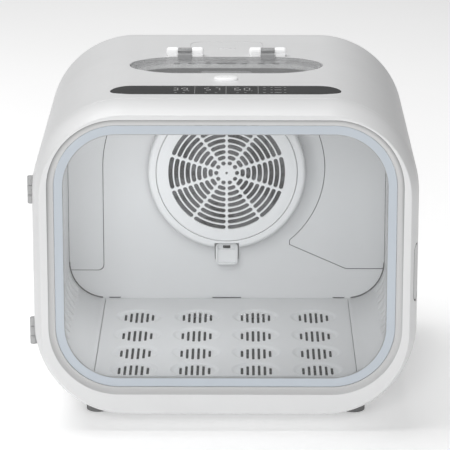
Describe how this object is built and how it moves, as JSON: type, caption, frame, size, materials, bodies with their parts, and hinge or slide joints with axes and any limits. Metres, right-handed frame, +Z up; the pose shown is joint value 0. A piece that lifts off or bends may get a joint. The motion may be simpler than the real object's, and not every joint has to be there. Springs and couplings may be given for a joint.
{
  "type": "pet dryer box",
  "caption": "Counter-top pet drying cabin with a glazed swing door, vented lift-out floor, round rear filter cover, blower and smoked top hatch.",
  "frame": {"origin": "on the table under the centre of the body", "axes": "+Z up; the door faces -Y; +X to the right seen from the front"},
  "size_m": [0.493, 0.4772, 0.4362],
  "materials": {
    "white_shell": "satin moulded",
    "pale_liner": "fine matt",
    "grey_trim": "satin",
    "dark_plastic": "fine matt",
    "steel": "brushed",
    "silicone": "soft matt",
    "filter_foam": "open cell mesh",
    "heat_plastic": "matt",
    "fin_aluminium": "mill",
    "circuit_board": "lacquered",
    "display_glass": "polished",
    "smoked_lid": "polished smoked",
    "clear_pane": "polished",
    "pale_band": "satin",
    "foot_rubber": "soft matt"
  },
  "bodies": {
    "cabinet": {"housing_shell": "white_shell", "base_pan": "pale_liner", "rear_panel": "pale_liner", "mouth_ring": "pale_liner", "door_seal": "silicone", "liner_ceiling": "pale_liner", "wall_left": "pale_liner", "wall_right": "pale_liner", "back_wall": "pale_liner", "back_trim_left": "pale_liner", "back_trim_right": "pale_liner", "ramp_left": "pale_liner", "ramp_right": "pale_liner", "floor_tray": "dark_plastic", "cover_seat": "grey_trim", "blower_scroll": "dark_plastic", "blower_inlet": "dark_plastic", "blower_motor": "steel", "heater_frame": "heat_plastic", "heater_fins": "fin_aluminium", "outlet_duct": "pale_liner", "main_board": "circuit_board", "power_board": "circuit_board", "display_board": "circuit_board", "display_lens": "display_glass", "climate_sensor": "white_shell", "inlet_socket": "dark_plastic", "hatch_collar": "grey_trim", "lid_hinge_left": "white_shell", "lid_hinge_right": "white_shell", "lid_pins": "steel", "button_spring": "steel", "rear_pad": "pale_liner", "body_knuckles": "grey_trim", "door_pins": "steel", "strike_plates": "steel", "foot_front_left": "foot_rubber", "foot_front_right": "foot_rubber", "foot_rear_left": "foot_rubber", "foot_rear_right": "foot_rubber", "case_screws": "steel"},
    "door": {"door_frame": "white_shell", "door_inner": "pale_liner", "door_glass": "clear_pane", "window_band": "pale_band", "door_knuckles": "grey_trim", "door_magnets": "steel"},
    "door_release": {"door_button": "grey_trim"},
    "lid": {"hatch_lid": "smoked_lid", "lid_catch": "smoked_lid"},
    "lid_release": {"lid_button": "white_shell"},
    "floor": {"floor_panel": "pale_liner"},
    "filter": {"cover_ring": "white_shell", "cover_grille": "white_shell", "filter_pad": "filter_foam"},
    "filter_catch": {"filter_latch": "white_shell"},
    "impeller": {"blower_wheel": "grey_trim"}
  },
  "joints": [
    {"name": "door_hinge", "type": "hinge", "parent": "cabinet", "child": "door", "pos_m": [-0.245, -0.192, 0.213], "axis": [0, 0, -1], "range_deg": [0, 115]},
    {"name": "door_button_press", "type": "slide", "parent": "door", "child": "door_release", "axis": [-1, 0, 0], "range_m": [0, 0.003], "stiffness_N_per_m": 900},
    {"name": "lid_hinge", "type": "hinge", "parent": "cabinet", "child": "lid", "pos_m": [0, 0.0575, 0.4304], "axis": [-1, 0, 0], "range_deg": [0, 105]},
    {"name": "lid_button_press", "type": "slide", "parent": "cabinet", "child": "lid_release", "axis": [0, 0, -1], "range_m": [0, 0.0025], "stiffness_N_per_m": 900, "deforming": ["button_spring"]},
    {"name": "floor_panel_lift", "type": "slide", "parent": "cabinet", "child": "floor", "axis": [0, 0, 1], "range_m": [0, 0.045]},
    {"name": "filter_cover_pull", "type": "slide", "parent": "cabinet", "child": "filter", "axis": [0, -1, 0], "range_m": [0, 0.06]},
    {"name": "filter_latch_press", "type": "slide", "parent": "cabinet", "child": "filter_catch", "axis": [0, 0, -1], "range_m": [0, 0.003], "stiffness_N_per_m": 600},
    {"name": "blower_spin", "type": "hinge", "parent": "cabinet", "child": "impeller", "pos_m": [0, 0.18, 0.246], "axis": [0, -1, 0], "continuous": true}
  ]
}
